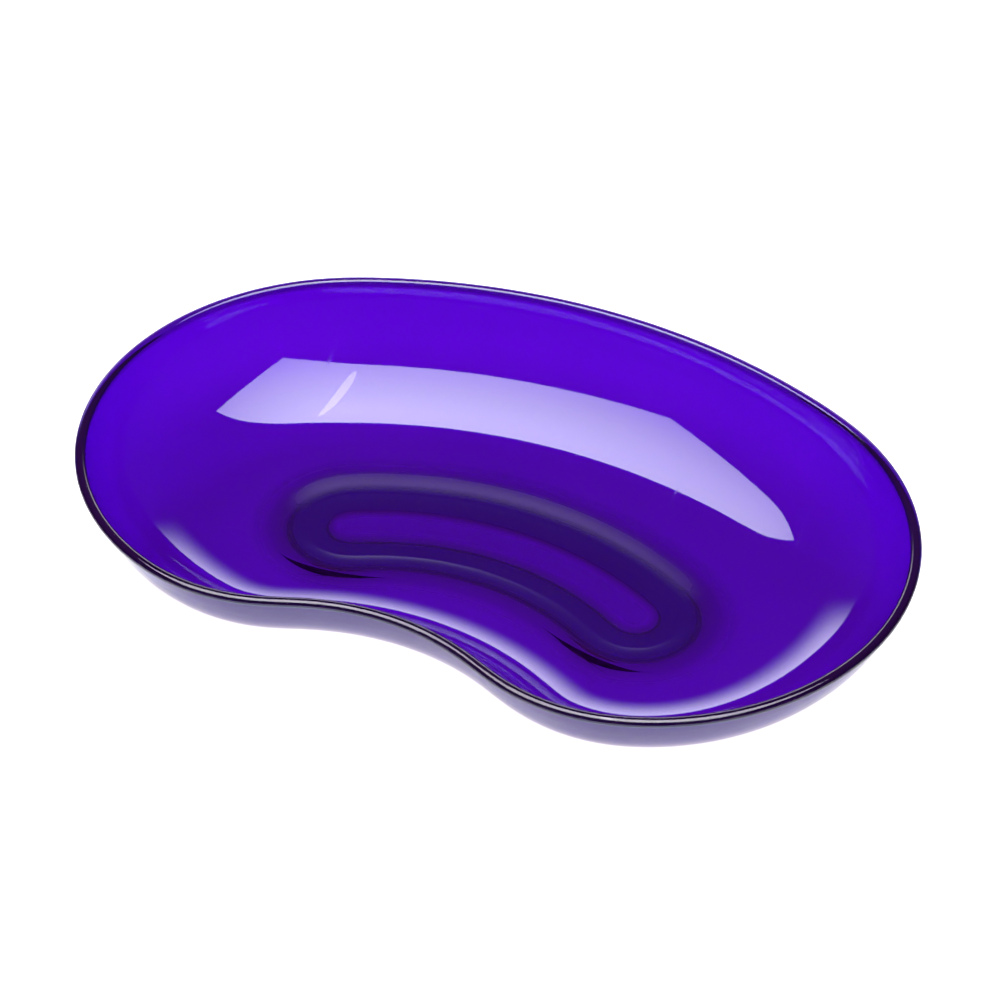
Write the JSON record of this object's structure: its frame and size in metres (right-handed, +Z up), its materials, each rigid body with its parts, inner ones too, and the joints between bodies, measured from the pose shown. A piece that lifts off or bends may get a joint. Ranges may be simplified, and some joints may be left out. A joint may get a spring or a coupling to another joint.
{
  "type": "kidney dish",
  "caption": "Shallow kidney-shaped bowl in clear violet plastic, with a round lip, a bent side wall and a low kidney-shaped foot.",
  "frame": {"origin": "on the surface that the dish stands on, under the middle of its bounding box", "axes": "+X along the dish's length, +Y towards the long back curve and away from the hollow in the front edge, +Z up"},
  "size_m": [0.25, 0.1654, 0.038],
  "materials": {
    "violet_plastic": "gloss"
  },
  "bodies": {
    "root": {"rim_lip": "violet_plastic", "upper_wall": "violet_plastic", "lower_wall": "violet_plastic", "bowl_floor": "violet_plastic", "foot_ring": "violet_plastic", "base_pad": "violet_plastic"}
  },
  "joints": []
}
